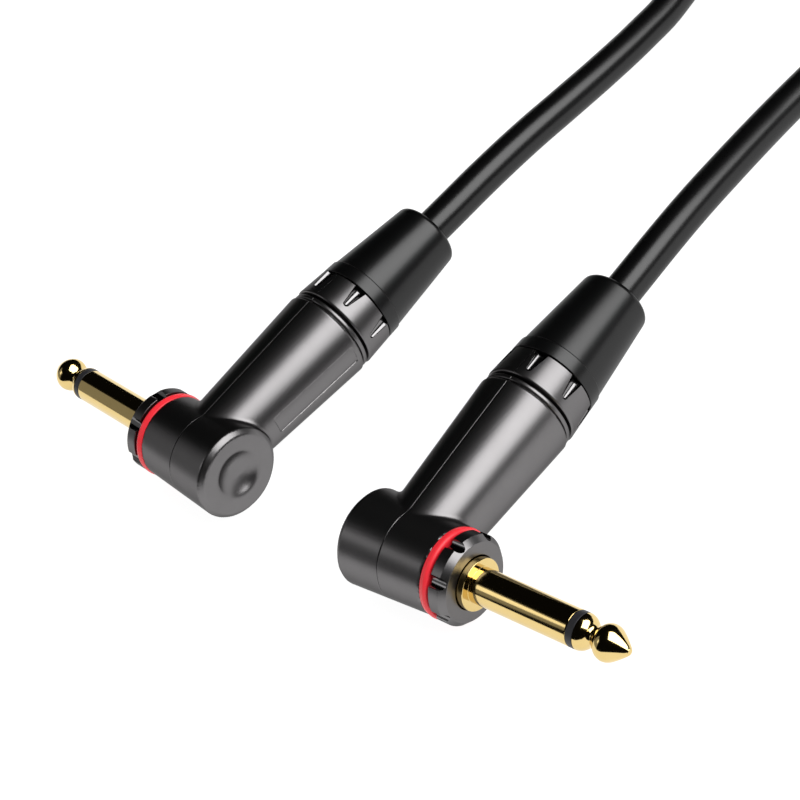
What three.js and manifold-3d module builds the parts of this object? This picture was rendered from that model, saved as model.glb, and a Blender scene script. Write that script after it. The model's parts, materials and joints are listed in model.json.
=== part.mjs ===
// An instrument cable: a shielded lead with the same right-angle 6.35 mm two-pole plug on each end.
// Units are millimetres, +Z is up, and the two plugs lie side by side on the plane z = 0.
//
// A plug is drawn in its own frame: the origin is the elbow, where the two axes cross,
// +X runs out along the contact finger and +Y runs out along the cable.

import * as THREE from 'three';
import { mergeVertices } from 'three/addons/utils/BufferGeometryUtils.js';
import Module from 'manifold-3d';

const wasm = await Module();
wasm.setup();

const ROUND = 32; // sides of the housing's round pieces
const SLIM = 20; // sides of the contact finger's round pieces
const INNER = 12; // sides of the cable's layers and other small hidden pieces
const GAP = 0.3; // clearance between neighbouring pieces
const HALF_TURN = Math.PI;
const degrees = THREE.MathUtils.degToRad;

// ---- Contact finger, measured along X from the elbow ----

const FINGER_RADIUS = 6.35 / 2;
const TIP_END = 46.18;
const TIP_START = 37.05;
const NECK_RADIUS = 1.85; // the groove a socket's spring clicks into
const INSULATOR = { start: 35.7, end: 36.85 };
const SLEEVE = { start: 4.5, end: 35.5, bore: 2.3, shankRadius: 3.8 };
const FLANGE = { start: 13.2, end: 15.51, radius: 4.62 };
const ROD_RADIUS = 1.05;
const RIVET = { start: 0.6, end: 1.4, radius: 1.8 };
const CORE_TUBE = { start: 2.6, end: 35.4, radius: 2.0 };
const REAR_WASHER = { start: 2.6, end: 4.2, radius: 5.2 };
const TIP_LUG = { start: 1.7, end: 2.3, radius: 2.7, armWidth: 2.4, armEnd: 11 };
const GROUND_LUG = { start: 4.5, end: 5.1, radius: 6.0, armWidth: 3.2, armEnd: 13 };
const BUSH = { start: 5.4, flangeEnd: 6.9, end: 12.9, flangeRadius: 6.5, threadRadius: 5.6 };
const COLOUR_RING = { start: 9.3, end: 10.8, radius: 8.24 };
const NUT = {
  start: 11.1,
  end: 14.26,
  radius: 8.0,
  faceRadius: 7.26,
  lipRadius: 4.95,
  slots: 7,
  slotPhase: degrees(7.5),
  slotWidth: 1.9,
  slotFloor: 7.0,
  slotEnd: 13.3,
};

// ---- Housing ----

const CROSS_BARREL = { rear: -9.27, front: 9.0, radius: 8.31, edge: 0.9 };
const DIMPLE = { radius: 4.7, slope: 50 }; // a round bowl, this many degrees steep at its rim
const CHAMBER = { rear: -6.0, front: 7.2, radius: 6.9 };
const BARREL = { elbowRadius: 7.23, rimRadius: 9.13, rim: 32.66, edge: 0.5 };
const SHOULDER = { radius: 8.5, end: 34.04 };
const SPIGOT = { radius: 7.4, end: 38.3 };
const CABLE_BORE = { elbowRadius: 5.8, mouthRadius: 6.1 };
const COLLAR = {
  start: 34.34,
  end: 40.28,
  startRadius: 9.03,
  endRadius: 8.62,
  bore: 7.7,
  lipStart: 39.6,
  lipRadius: 6.9,
  notches: 7,
  notchPhase: degrees(11.25),
};
const NOTCH = { start: 36.0, wide: 2.5, narrow: 1.1, floor: 7.95, slope: degrees(8) };

// ---- Boot, chuck and cable, measured along Y from the elbow ----

const CABLE_RADIUS = 3.45;
const BOOT = {
  flangeStart: 38.65,
  flangeEnd: 39.3,
  flangeRadius: 7.35,
  neckRadius: 6.6,
  start: 40.58,
  startRadius: 8.6,
  stepEnd: 43.37,
  stepRadius: 8.25,
  end: 60.83,
  endRadius: 6.42,
  edge: 1.2,
};
const CHUCK = { start: 26.5, end: 38.0, radius: 5.5, slots: 4, slotWidth: 1.0, slotEnd: 34 };
const STUB_END = 67.5; // the straight end of the cable reaches this far, past the boot's mouth
const JACKET_START = 25;
const LAYERS = {
  braid: { start: 21, inner: 2.05, outer: 2.35 },
  noise: { start: 18.5, inner: 1.45, outer: 1.75 },
  core: { start: 15.5, inner: 0.65, outer: 1.15 },
};
const WIRE_RADIUS = 0.35;
const PIGTAIL_RADIUS = 0.6;

// ---- Where things lie ----

const AXIS_HEIGHT = BARREL.rimRadius; // both plugs rest on their widest rim
const ELBOW_A = [25.7, -30.2, AXIS_HEIGHT];
const ELBOW_B = [-25.8, -29.0, AXIS_HEIGHT];
const YAW_B = degrees(-5.29); // plug B lies turned over and slightly turned towards plug A

// The loose cable from each plug to the coil. The ends follow the plugs' own axes.
const LEAD_A = [
  [25.7, 37.6, 9.13],
  [25.7, 46, 9.13],
  [25.6, 56, 8.7],
  [25.4, 66, 7.7],
  [25.2, 76, 6.5],
  [25.1, 86, 5.2],
  [25.4, 96, 4.1],
  [26.5, 106.5, 3.5],
  [30.4, 120, 3.5],
  [35.8, 131.3, 3.9],
];
const LEAD_B = [
  [-19.53, 38.5, 9.13],
  [-18.6, 48, 9.13],
  [-17.5, 60, 8.6],
  [-16.4, 72, 7.5],
  [-15.6, 84, 6.2],
  [-15.5, 96, 4.8],
  [-16.7, 106.5, 4.1],
  [-20.4, 120, 5.4],
  [-25.8, 131.3, 8.1],
];
const LEAD_SIDES = 10;
const LEAD_STEPS = 12;

// The coil stands a tie's thickness above the surface.
const COIL = { x: 5, y: 190, base: 1.5, inner: 24.2, outer: 62.2, height: 13.85, chamfer: 2.4 };
const TIE = { width: 16, thickness: 1.2 };

// ---- Solids ----

// A solid of revolution about Y. The outline is a list of [radius, along] corners, going up
// the outside first. An outline that starts and ends on the axis is solid, any other is a ring.
function revolve(outline, sides = ROUND) {
  const points = outline.map(([radius, along]) => new THREE.Vector2(radius, along));
  if (points[0].x > 0) points.push(points[0].clone());
  return new THREE.LatheGeometry(points, sides);
}

// A plain ring or tube about Y.
function tube(inner, outer, start, end, sides) {
  return revolve([[outer, start], [outer, end], [inner, end], [inner, start]], sides);
}

// Turns a shape drawn about Y so that it lies about X, the finger's axis.
function alongFinger(geometry) {
  return geometry.rotateZ(-HALF_TURN / 2);
}

// Two outlines meet in a round corner: points of an arc about [radius, along].
function arc(radius, along, size, from, to, steps = 3) {
  return Array.from({ length: steps + 1 }, (_, i) => {
    const angle = degrees(from + ((to - from) * i) / steps);
    return [radius + size * Math.cos(angle), along + size * Math.sin(angle)];
  });
}

// A polygon swept along a smooth curve through the points.
function sweep(points, radius, sides, steps) {
  const outline = new THREE.Shape();
  outline.absarc(0, 0, radius, 0, 2 * HALF_TURN);
  const path = new THREE.CatmullRomCurve3(points.map((point) => new THREE.Vector3(...point)));
  const section = new THREE.Shape(outline.getSpacedPoints(sides).slice(0, sides));
  return new THREE.ExtrudeGeometry(section, { steps, extrudePath: path, bevelEnabled: false });
}

function toManifold(geometry) {
  const bare = new THREE.BufferGeometry();
  bare.setAttribute('position', geometry.getAttribute('position'));
  bare.setIndex(geometry.getIndex());
  const merged = mergeVertices(bare);
  const corners = merged.getIndex().array;
  const triangles = [];
  for (let i = 0; i < corners.length; i += 3) {
    const [a, b, c] = corners.slice(i, i + 3);
    if (a !== b && b !== c && c !== a) triangles.push(a, b, c);
  }
  return new wasm.Manifold(
    new wasm.Mesh({
      numProp: 3,
      vertProperties: merged.getAttribute('position').array,
      triVerts: new Uint32Array(triangles),
    }),
  );
}

function toGeometry(manifold) {
  const mesh = manifold.getMesh();
  const geometry = new THREE.BufferGeometry();
  geometry.setAttribute('position', new THREE.BufferAttribute(mesh.vertProperties, 3));
  geometry.setIndex(new THREE.BufferAttribute(mesh.triVerts, 1));
  return geometry;
}

function join(...geometries) {
  return geometries.map(toManifold).reduce((whole, next) => whole.add(next));
}

function cut(manifold, ...geometries) {
  return geometries.map(toManifold).reduce((whole, next) => whole.subtract(next), manifold);
}

// ---- Contact finger ----

function tipContact() {
  const head = [
    [FINGER_RADIUS, TIP_START],
    [FINGER_RADIUS, 37.9],
    [2.9, 38.6],
    [1.95, 39.4],
    [NECK_RADIUS, 39.8],
    [2.35, 40.3],
    [2.95, 41.0],
    [FINGER_RADIUS, 41.8],
    [3.0, 43.0],
    [1.75, 44.8],
    [0.7, 46.0],
    [0, TIP_END],
  ];
  const rod = [
    [0, RIVET.start],
    [RIVET.radius, RIVET.start],
    [RIVET.radius, RIVET.end],
    [ROD_RADIUS, RIVET.end],
    [ROD_RADIUS, TIP_START],
  ];
  return alongFinger(revolve([...rod, ...head], SLIM));
}

function tipInsulator() {
  return alongFinger(tube(ROD_RADIUS + GAP, FINGER_RADIUS, INSULATOR.start, INSULATOR.end, SLIM));
}

function sleeve() {
  return alongFinger(
    revolve(
      [
        [SLEEVE.shankRadius, SLEEVE.start],
        [SLEEVE.shankRadius, FLANGE.start],
        [FLANGE.radius, FLANGE.start],
        [FLANGE.radius, FLANGE.end],
        [FINGER_RADIUS, FLANGE.end],
        [FINGER_RADIUS, SLEEVE.end],
        [SLEEVE.bore, SLEEVE.end],
        [SLEEVE.bore, SLEEVE.start],
      ],
      SLIM,
    ),
  );
}

function coreTube() {
  const { start, end, radius } = CORE_TUBE;
  return alongFinger(tube(ROD_RADIUS + GAP, radius, start, end, INNER));
}

function rearWasher() {
  const { start, end, radius } = REAR_WASHER;
  return alongFinger(tube(CORE_TUBE.radius + GAP, radius, start, end, SLIM));
}

// A flat solder lug: a ring round the finger's parts with an arm that points down the cable barrel.
function solderLug({ start, end, radius, armWidth, armEnd }, hole) {
  const half = armWidth / 2;
  const root = Math.asin(half / radius);
  const outline = new THREE.Shape();
  outline.moveTo(armEnd, -half);
  outline.lineTo(armEnd, half);
  outline.absarc(0, 0, radius, root, 2 * HALF_TURN - root, false);
  outline.closePath();
  const opening = new THREE.Path();
  opening.absarc(0, 0, hole, 0, 2 * HALF_TURN, true);
  outline.holes.push(opening);
  const options = { depth: end - start, bevelEnabled: false, curveSegments: INNER };
  const plate = new THREE.ExtrudeGeometry(outline, options);
  const turn = new THREE.Matrix4().makeBasis(
    new THREE.Vector3(0, 1, 0),
    new THREE.Vector3(0, 0, 1),
    new THREE.Vector3(1, 0, 0),
  );
  return plate.applyMatrix4(turn).translate(start, 0, 0);
}

function threadedBush() {
  return alongFinger(
    revolve([
      [BUSH.flangeRadius, BUSH.start],
      [BUSH.flangeRadius, BUSH.flangeEnd],
      [BUSH.threadRadius, BUSH.flangeEnd],
      [BUSH.threadRadius, BUSH.end],
      [SLEEVE.shankRadius + GAP, BUSH.end],
      [SLEEVE.shankRadius + GAP, BUSH.start],
    ], SLIM),
  );
}

function colourRing() {
  const { start, end, radius } = COLOUR_RING;
  const bevel = 0.3;
  return alongFinger(
    revolve([
      [radius - bevel, start],
      [radius, start + bevel],
      [radius, end - bevel],
      [radius - bevel, end],
      [BUSH.threadRadius + GAP, end],
      [BUSH.threadRadius + GAP, start],
    ]),
  );
}

// The cutter of one spanner slot in the nut: open towards the colour ring, with a round end.
function nutSlot(index) {
  const half = NUT.slotWidth / 2;
  const plan = new THREE.Shape();
  plan.moveTo(half, NUT.start - 1);
  plan.lineTo(half, NUT.slotEnd - half);
  plan.absarc(0, NUT.slotEnd - half, half, 0, HALF_TURN);
  plan.lineTo(-half, NUT.start - 1);
  const options = { depth: NUT.radius, bevelEnabled: false, curveSegments: 4 };
  const cutter = new THREE.ExtrudeGeometry(plan, options).translate(0, 0, NUT.slotFloor);
  return alongFinger(cutter).rotateX(-NUT.slotPhase - (index * 2 * HALF_TURN) / NUT.slots);
}

function frontNut() {
  const chamferStart = 12.7;
  const lipStart = FLANGE.start;
  const body = alongFinger(
    revolve([
      [NUT.radius, NUT.start],
      [NUT.radius, chamferStart],
      [NUT.faceRadius, NUT.end],
      [NUT.lipRadius + 0.55, NUT.end],
      [NUT.lipRadius, NUT.end - 0.5],
      [NUT.lipRadius, lipStart],
      [BUSH.threadRadius + GAP, lipStart],
      [BUSH.threadRadius + GAP, NUT.start],
    ]),
  );
  const slots = Array.from({ length: NUT.slots }, (_, index) => nutSlot(index));
  return toGeometry(cut(toManifold(body), ...slots));
}

// ---- Housing ----

// The whole hollow housing, before it is split into its two shells.
function housing() {
  const { rear, front, radius, edge } = CROSS_BARREL;
  const bowlRadius = DIMPLE.radius / Math.sin(degrees(DIMPLE.slope));
  const bowlCentre = rear - bowlRadius * Math.cos(degrees(DIMPLE.slope));
  const crossBarrel = alongFinger(
    revolve([
      [0, bowlCentre + bowlRadius],
      ...arc(0, bowlCentre, bowlRadius, 80, 90 - DIMPLE.slope, 4),
      ...arc(radius - edge, rear + edge, edge, -90, 0),
      ...arc(radius - edge / 3, front - edge / 3, edge / 3, 0, 90, 1),
      [0, front],
    ]),
  );
  const barrel = revolve([
    [0, 0],
    [BARREL.elbowRadius, 0],
    [BARREL.rimRadius, BARREL.rim - BARREL.edge],
    [BARREL.rimRadius - BARREL.edge, BARREL.rim],
    [SHOULDER.radius, BARREL.rim],
    [SHOULDER.radius, SHOULDER.end],
    [SPIGOT.radius, SHOULDER.end],
    [SPIGOT.radius, SPIGOT.end],
    [0, SPIGOT.end],
  ]);
  const chamber = alongFinger(
    revolve([[0, CHAMBER.rear], [CHAMBER.radius, CHAMBER.rear], [CHAMBER.radius, CHAMBER.front], [0, CHAMBER.front]]),
  );
  const bushHole = alongFinger(
    revolve([[0, 0], [BUSH.threadRadius + GAP, 0], [BUSH.threadRadius + GAP, front + 1], [0, front + 1]], SLIM),
  );
  const cableBore = revolve([
    [0, 0],
    [CABLE_BORE.elbowRadius, 0],
    [CABLE_BORE.mouthRadius, SPIGOT.end + 1],
    [0, SPIGOT.end + 1],
  ]);
  return cut(join(crossBarrel, barrel), chamber, bushHole, cableBore);
}

// One half of the housing: side is 1 for the half with the finger and -1 for the rear half.
function shell(side) {
  const reach = 60;
  const block = new THREE.BoxGeometry(reach, 2 * reach, reach);
  block.translate(side * (reach / 2 + GAP / 2), 0, 0);
  return toGeometry(housing().intersect(toManifold(block)));
}

// The cutter of one wedge-shaped spanner notch in the collar, deepest at the boot's end.
function collarNotch(index) {
  const beyond = COLLAR.end + 1;
  const narrow = NOTCH.narrow / 2;
  const wide = (NOTCH.wide / 2) * ((beyond - NOTCH.start) / (COLLAR.end - NOTCH.start));
  const plan = new THREE.Shape();
  plan.moveTo(wide, beyond);
  plan.lineTo(-wide, beyond);
  plan.lineTo(-narrow, NOTCH.start + narrow);
  plan.absarc(0, NOTCH.start + narrow, narrow, HALF_TURN, 2 * HALF_TURN);
  plan.closePath();
  const options = { depth: COLLAR.startRadius, bevelEnabled: false, curveSegments: 4 };
  const cutter = new THREE.ExtrudeGeometry(plan, options).translate(0, -COLLAR.end, 0);
  cutter.rotateX(-NOTCH.slope).translate(0, COLLAR.end, NOTCH.floor);
  return cutter.rotateY(COLLAR.notchPhase + (index * 2 * HALF_TURN) / COLLAR.notches);
}

function collar() {
  const edge = 0.4;
  const body = revolve([
    [COLLAR.startRadius - edge, COLLAR.start],
    [COLLAR.startRadius, COLLAR.start + edge],
    [COLLAR.endRadius, COLLAR.end],
    [COLLAR.lipRadius, COLLAR.end],
    [COLLAR.lipRadius, COLLAR.lipStart],
    [COLLAR.bore, COLLAR.lipStart],
    [COLLAR.bore, COLLAR.start],
  ]);
  const notches = Array.from({ length: COLLAR.notches }, (_, index) => collarNotch(index));
  return toGeometry(cut(toManifold(body), ...notches));
}

// ---- Boot, chuck and the cable's layers ----

function boot() {
  const bore = CABLE_RADIUS + GAP;
  return revolve([
    [BOOT.flangeRadius, BOOT.flangeStart],
    [BOOT.flangeRadius, BOOT.flangeEnd],
    [BOOT.neckRadius, BOOT.flangeEnd],
    [BOOT.neckRadius, BOOT.start],
    [BOOT.startRadius, BOOT.start],
    [BOOT.startRadius - 0.12, BOOT.stepEnd - 0.2],
    [BOOT.stepRadius, BOOT.stepEnd],
    ...arc(BOOT.endRadius - BOOT.edge, BOOT.end - BOOT.edge, BOOT.edge, 0, 90),
    [bore, BOOT.end],
    [bore, BOOT.flangeStart],
  ]);
}

function cableChuck() {
  const { start, end, radius, slots, slotWidth, slotEnd } = CHUCK;
  const body = tube(CABLE_RADIUS + GAP, radius, start, end, SLIM);
  const length = slotEnd - start + 1;
  const cutters = Array.from({ length: slots }, (_, index) =>
    new THREE.BoxGeometry(slotWidth, length, radius)
      .translate(0, start - 1 + length / 2, radius / 2 + CABLE_RADIUS / 2)
      .rotateY(((index + 0.5) * 2 * HALF_TURN) / slots),
  );
  return toGeometry(cut(toManifold(body), ...cutters));
}

function jacketEnd() {
  return tube(LAYERS.braid.outer + GAP, CABLE_RADIUS, JACKET_START, STUB_END, SLIM);
}

// The braid, bare past the jacket's cut end, with its wires twisted into a pigtail to the ground lug.
function braidShield() {
  const { start, inner, outer } = LAYERS.braid;
  const braid = tube(inner, outer, start, STUB_END, INNER);
  const lug = (GROUND_LUG.start + GROUND_LUG.end) / 2;
  const pigtail = sweep(
    [
      [outer + 0.3, start + 2.5, 0],
      [outer + 0.5, start - 1, 0],
      [lug, GROUND_LUG.armEnd + 3, 0],
      [lug, GROUND_LUG.armEnd + GAP, 0],
    ],
    PIGTAIL_RADIUS,
    6,
    5,
  );
  return toGeometry(join(braid, pigtail));
}

function noiseLayer() {
  const { start, inner, outer } = LAYERS.noise;
  return tube(inner, outer, start, STUB_END, INNER);
}

function coreInsulation() {
  const { start, inner, outer } = LAYERS.core;
  return tube(inner, outer, start, STUB_END, INNER);
}

// The centre wire, bent over from the cable's axis to the tip lug's arm.
function coreWire() {
  const lug = (TIP_LUG.start + TIP_LUG.end) / 2;
  return sweep(
    [
      [0, STUB_END, 0],
      [0, 40, 0],
      [0, 17, 0],
      [0, 15, 0],
      [lug - 0.2, 12.5, 0],
      [lug, TIP_LUG.armEnd + GAP, 0],
    ],
    WIRE_RADIUS,
    6,
    16,
  );
}

// ---- Cable and tie ----

function lead(points) {
  return sweep(points, CABLE_RADIUS, LEAD_SIDES, LEAD_STEPS);
}

// The coil's outer shape, a ring with its corners cut.
function cableCoil() {
  const { x, y, base, inner, outer, height, chamfer } = COIL;
  const top = base + height;
  return revolve([
    [outer - chamfer, base],
    [outer, base + chamfer],
    [outer, top - chamfer],
    [outer - chamfer, top],
    [inner + chamfer, top],
    [inner, top - chamfer],
    [inner, base + chamfer],
    [inner + chamfer, base],
  ])
    .rotateX(HALF_TURN / 2)
    .translate(x, y, 0);
}

// The strap round the coil's bundle of turns, at the coil's far side from the plugs.
function cableTie() {
  const { thickness, width } = TIE;
  const chord = Math.sqrt(COIL.inner ** 2 - (width / 2) ** 2);
  const near = chord - GAP;
  const far = COIL.outer + GAP;
  const low = COIL.base - GAP;
  const high = COIL.base + COIL.height + GAP;
  const outline = new THREE.Shape([
    new THREE.Vector2(near - thickness, low - thickness),
    new THREE.Vector2(far + thickness, low - thickness),
    new THREE.Vector2(far + thickness, high + thickness),
    new THREE.Vector2(near - thickness, high + thickness),
  ]);
  outline.holes.push(
    new THREE.Path([
      new THREE.Vector2(near, low),
      new THREE.Vector2(near, high),
      new THREE.Vector2(far, high),
      new THREE.Vector2(far, low),
    ]),
  );
  const strap = new THREE.ExtrudeGeometry(outline, { depth: width, bevelEnabled: false });
  const turn = new THREE.Matrix4().makeBasis(
    new THREE.Vector3(0, 1, 0),
    new THREE.Vector3(0, 0, 1),
    new THREE.Vector3(1, 0, 0),
  );
  return strap.applyMatrix4(turn).translate(COIL.x - width / 2, COIL.y, 0);
}

// ---- Finishes ----

const FINISHES = {
  gold: { color: 0xe3bd5c, roughness: 0.12, metalness: 1 },
  gunmetal: { color: 0x4b494b, roughness: 0.28, metalness: 1 },
  nickel: { color: 0x8d8b88, roughness: 0.35, metalness: 1 },
  copper: { color: 0xb87345, roughness: 0.4, metalness: 1 },
  red: { color: 0xe6303a, roughness: 0.45, metalness: 0 },
  rubber: { color: 0x1c1c1d, roughness: 0.6, metalness: 0 },
  jacket: { color: 0x19191a, roughness: 0.5, metalness: 0 },
  insulator: { color: 0x202124, roughness: 0.6, metalness: 0 },
  nylon: { color: 0xd9d4c6, roughness: 0.5, metalness: 0 },
  strap: { color: 0x222222, roughness: 0.9, metalness: 0 },
};

function piece(name, geometry, finish) {
  const mesh = new THREE.Mesh(geometry, new THREE.MeshStandardMaterial(FINISHES[finish]));
  mesh.name = name;
  return mesh;
}

function plug(letter) {
  const group = new THREE.Group();
  const pieces = [
    ['tip_contact', tipContact(), 'gold'],
    ['tip_insulator', tipInsulator(), 'insulator'],
    ['sleeve', sleeve(), 'gold'],
    ['core_tube', coreTube(), 'nylon'],
    ['rear_washer', rearWasher(), 'nylon'],
    ['tip_lug', solderLug(TIP_LUG, ROD_RADIUS + GAP), 'nickel'],
    ['ground_lug', solderLug(GROUND_LUG, SLEEVE.shankRadius + GAP), 'nickel'],
    ['threaded_bush', threadedBush(), 'gunmetal'],
    ['colour_ring', colourRing(), 'red'],
    ['front_nut', frontNut(), 'gunmetal'],
    ['front_shell', shell(1), 'gunmetal'],
    ['rear_shell', shell(-1), 'gunmetal'],
    ['collar', collar(), 'gunmetal'],
    ['boot', boot(), 'rubber'],
    ['cable_chuck', cableChuck(), 'insulator'],
    ['jacket_end', jacketEnd(), 'jacket'],
    ['braid_shield', braidShield(), 'copper'],
    ['noise_layer', noiseLayer(), 'insulator'],
    ['core_insulation', coreInsulation(), 'nylon'],
    ['core_wire', coreWire(), 'copper'],
  ];
  for (const [name, geometry, finish] of pieces) {
    group.add(piece(`${name}_${letter}`, geometry, finish));
  }
  return group;
}

const plugA = plug('a');
plugA.position.set(...ELBOW_A);

const plugB = plug('b');
plugB.position.set(...ELBOW_B);
plugB.rotation.set(0, HALF_TURN, YAW_B, 'ZYX');

const group = new THREE.Group();
group.add(plugA, plugB);
group.add(piece('cable_lead_a', lead(LEAD_A), 'jacket'));
group.add(piece('cable_coil', cableCoil(), 'jacket'));
group.add(piece('cable_lead_b', lead(LEAD_B), 'jacket'));
group.add(piece('cable_tie', cableTie(), 'strap'));

export default group;
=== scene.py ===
"""Looks of an instrument cable: two right-angle 6.35 mm plugs joined by a coiled, tied cable.

Lengths in the tables below are millimetres, as in the CAD source, and every object made is in metres.
A plug is drawn in its own frame: the origin is the elbow, where the two axes cross, +X runs out along
the contact finger and +Y runs out along the cable.
"""

import json
import math

import bmesh
import bpy
import numpy as np
from mathutils import Matrix, Quaternion, Vector


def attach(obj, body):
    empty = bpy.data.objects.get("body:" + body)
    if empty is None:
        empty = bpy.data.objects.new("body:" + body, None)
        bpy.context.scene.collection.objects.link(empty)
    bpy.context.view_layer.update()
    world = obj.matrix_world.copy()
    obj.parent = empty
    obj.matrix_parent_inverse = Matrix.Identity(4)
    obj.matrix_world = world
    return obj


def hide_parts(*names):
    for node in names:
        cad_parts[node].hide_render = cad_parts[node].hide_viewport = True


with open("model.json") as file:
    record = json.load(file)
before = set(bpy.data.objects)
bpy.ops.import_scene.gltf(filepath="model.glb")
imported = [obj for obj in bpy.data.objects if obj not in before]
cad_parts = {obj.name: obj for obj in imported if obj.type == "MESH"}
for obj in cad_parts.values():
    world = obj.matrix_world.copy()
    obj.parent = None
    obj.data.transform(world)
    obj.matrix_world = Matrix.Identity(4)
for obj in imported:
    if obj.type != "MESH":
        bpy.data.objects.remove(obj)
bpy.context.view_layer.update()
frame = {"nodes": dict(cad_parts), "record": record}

MM = 0.001
FULL_TURN = 2 * math.pi
ROUND = 128  # sides of the visible round pieces

# ---- Where the plugs lie ----

AXIS_HEIGHT = 9.13
ELBOWS = {"a": (25.7, -30.2, AXIS_HEIGHT), "b": (-25.8, -29.0, AXIS_HEIGHT)}
YAW_B = math.radians(-5.29)  # plug b lies turned over and slightly turned towards plug a

# ---- Contact finger, measured along X from the elbow ----

FINGER_RADIUS = 3.175
TIP = {"start": 37.0, "end": 46.18, "rod": 1.05, "edge": (0.08, 0.05)}
RIVET = {"start": 0.6, "end": 1.4, "radius": 1.8, "edge": 0.2}  # the tip's rod ends in it, in the housing
# the tip's outline as radius and place, from the insulator to the point
TIP_CURVE = [(3.175, 37.05), (3.09, 37.42), (2.86, 37.98), (2.4, 38.55), (1.9, 38.98), (1.7, 39.35),
             (1.88, 39.8), (2.42, 40.35), (2.92, 41.0), (3.16, 41.75), (3.14, 42.4), (2.9, 43.1),
             (2.36, 43.95), (1.72, 44.8), (0.98, 45.7), (0.62, 46.04)]
INSULATOR = {"start": 35.62, "end": 36.92, "radius": 3.165, "bore": 1.3, "edge": 0.1}
SLEEVE = {"start": 4.5, "end": 35.55, "bore": 2.3, "shank": 3.8, "shank_edge": 0.1, "tip_edge": 0.12}
FLANGE = {"start": 13.2, "end": 15.51, "radius": 4.62, "rear_edge": 0.15, "front_edge": 0.14, "root": 0.08}
COLOUR_RING = {"start": 9.04, "end": 10.6, "rear_radius": 7.86, "front_radius": 8.25, "rear_edge": 0.2,
               "front_edge": 0.65, "bore": 5.9, "bore_edge": 0.1}
NUT = {"start": 11.1, "chamfer": 13.15, "end": 14.26, "radius": 8.0, "face": 7.05, "lip": 4.8, "bore": 5.9,
       "shelf": 13.2, "edge": 0.08, "rear_edge": 0.1}
NUT_SLOTS = {"count": 7, "phase": 7.5, "radius": 1.15, "axis": 8.3, "end": 16.0}

# ---- Housing, measured from the elbow ----

CROSS = {"rear": -9.62, "front": 9.0, "rear_radius": 8.7, "front_radius": 7.84, "chamfer": 0.95,
         "face_edge": 0.12, "side_edge": 0.15, "front_edge": 0.12}
DISH = {"bowl": 6.9, "rim": 2.0, "slope": 38.0}  # a round bowl with a round rim, this steep where they meet
BARREL = {"elbow": 7.33, "rim": 9.13, "rim_end": 32.66, "rim_edge": 0.42}
FILLET = {"crown": 0.1, "side": 1.15, "fade": 1.5}  # where the two barrels meet: on top, in their plane
GROOVE = {"floor": 8.35, "draft": 0.05, "edge": 0.1}
BEAD = {"start": 33.0, "end": 33.85, "radius": 8.85, "edge": 0.3}
SHOULDER_END = 34.04
SPIGOT = {"radius": 7.4, "end": 38.3, "edge": 0.3}
CHAMBER = {"rear": -6.0, "front": 7.2, "radius": 6.9}
BORE = {"elbow": 5.8, "mouth": 6.1}
BUSH_HOLE = 5.9
SEAM = {"gap": 0.03, "width": 0.12, "depth": 0.07}
PANEL = {"start": 11.7, "end": 31.6, "half_width": 1.85, "depth": 0.22, "corner": 0.5, "edge": 0.12}
GRID_STEP = 0.32  # the housing is meshed on this grid, finer round the places below
FINE_SEAM = (0, 0.24, 0.06)  # place, reach either side, step
FINE_GROOVE = (33.25, 1.1, 0.09)
FINE_PANEL_END = (0.2, 0.08)  # reach, step
FINE_PANEL_SIDE = (0.16, 0.08)

# ---- Collar and boot, measured along Y from the elbow ----

COLLAR = {"start": 34.34, "end": 40.28, "start_radius": 9.03, "end_radius": 8.62, "bore": 7.7, "lip": 39.6,
          "lip_radius": 6.9, "edge": 0.35}
NOTCHES = {"count": 7, "phase": 11.25, "start": 35.95, "wide": 1.3, "narrow": 0.55, "roundness": 1.06}
COLLAR_LINE = {"half_width": 0.15, "depth": 0.13, "above": 0.2}
BOOT = {"flange": (38.65, 39.3, 7.35), "neck": 6.6, "start": 40.58, "radius": 8.6, "step": 43.37,
        "step_radius": 8.25, "end": 61.0, "end_radius": 6.58, "edge": 1.1, "bore": 3.55, "mouth_edge": 0.35,
        "small_edge": 0.1, "start_edge": 0.15, "step_edge": 0.12}

# ---- Cable ----

CABLE_RADIUS = 3.45
CABLE_IN_PLUG = (31.5, 40, 48, 56, 62)  # along Y from the elbow, the first one in the plug's clamp
LEAD_A = [(25.7, 37.6, 9.13), (25.7, 46, 9.13), (25.6, 56, 8.7), (25.4, 66, 7.7), (25.2, 76, 6.5),
          (25.1, 86, 5.2), (25.4, 96, 4.1), (26.5, 106.5, 3.5), (30.4, 120, 3.5), (35.8, 131.3, 3.9),
          (42.5, 141.5, 4.6)]
LEAD_B = [(-19.53, 38.5, 9.13), (-18.6, 48, 9.13), (-17.5, 60, 8.6), (-16.4, 72, 7.5), (-15.6, 84, 6.2),
          (-15.3, 96, 4.9), (-15.6, 106.5, 4.0), (-17.6, 118, 4.2), (-24.6, 131, 7.8), (-32.5, 141.5, 10.9)]
COIL = {"x": 5, "y": 190, "first": -43, "last": 223, "laps": 9, "radius": 61.0, "pitch": 6.95, "base": 4.95,
        "climb": 0.42, "points_per_turn": 16}
TIE = {"width": 16, "thickness": 1.2, "near": 26.4, "far": 62.6, "low": 1.3, "high": 15.5, "corner": 4.0,
       "overlap": 14.0, "ramp": (4, 2), "lift": 1.05, "tail": 6, "edge": 0.3}

# ---- Picture ----

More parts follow.
